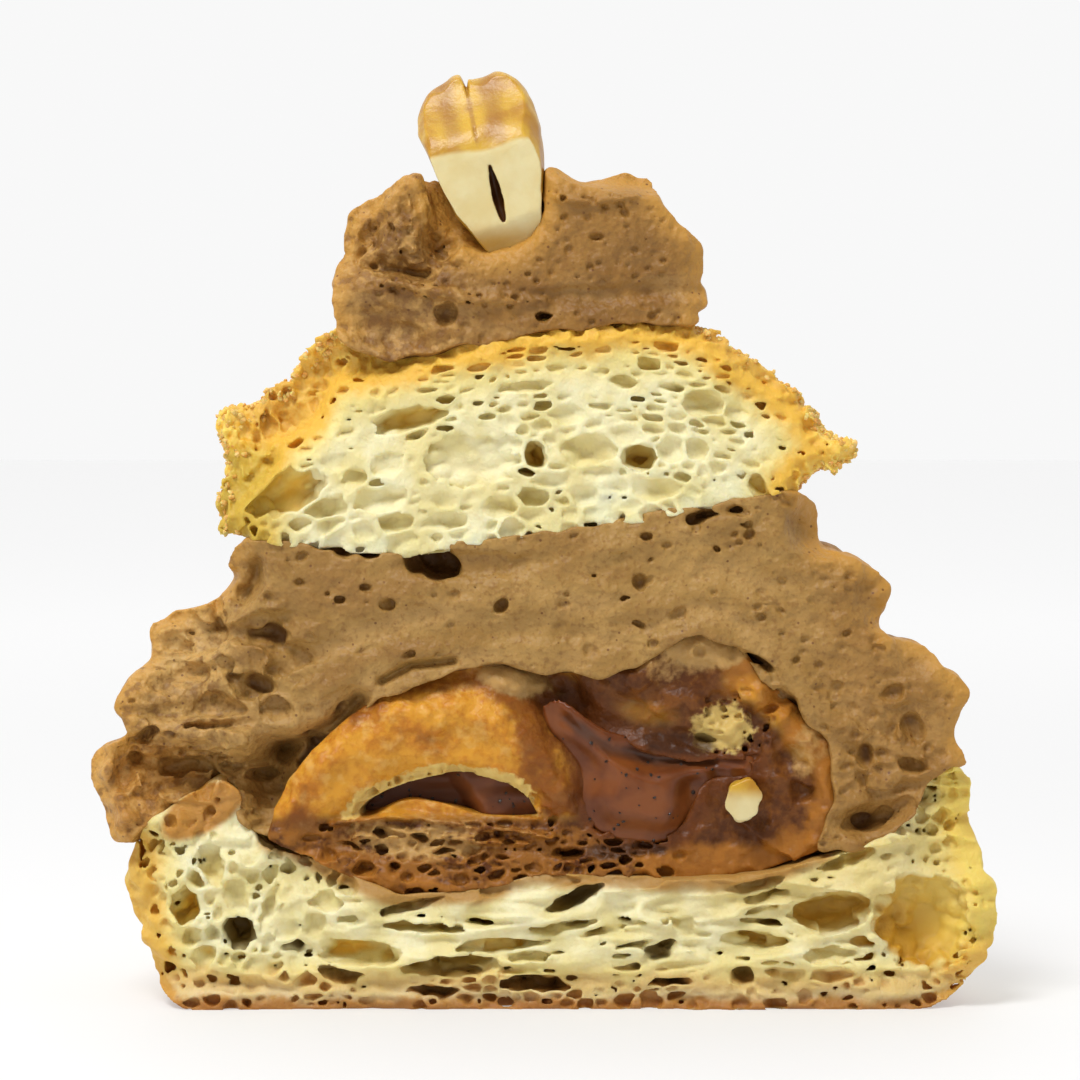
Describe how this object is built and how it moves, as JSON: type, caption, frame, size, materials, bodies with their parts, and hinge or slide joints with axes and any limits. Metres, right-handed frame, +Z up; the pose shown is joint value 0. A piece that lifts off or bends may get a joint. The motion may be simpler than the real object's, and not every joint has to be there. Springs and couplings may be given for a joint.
{
  "type": "choux bun",
  "caption": "Half of a filled choux bun standing with its cut face in view: crumb base, caramel-filled choux, piped praline cream, crusted lid, cream rosette and a nut on top.",
  "frame": {"origin": "middle of the bun's bounding box, on the surface that its flat underside rests on", "axes": "+Z up through the layers; -Y out of the flat cut face; +X to the right when looking at the cut face"},
  "size_m": [0.0826, 0.04, 0.0854],
  "materials": {
    "crumb": "matt, porous pale yellow crumb with a browned crust",
    "toast": "matt, baked brown crust, soaked in places",
    "cream": "satin, light brown praline cream with fine pores",
    "caramel": "glossy, translucent brown with vanilla seeds",
    "nut": "satin, roasted kernel, paler where cut"
  },
  "bodies": {
    "root": {"lower_bun": "crumb", "small_choux": "toast", "caramel": "caramel", "nut_piece": "nut", "praline_cream": "cream", "lid": "crumb", "rosette": "cream", "nut": "nut"}
  },
  "joints": []
}
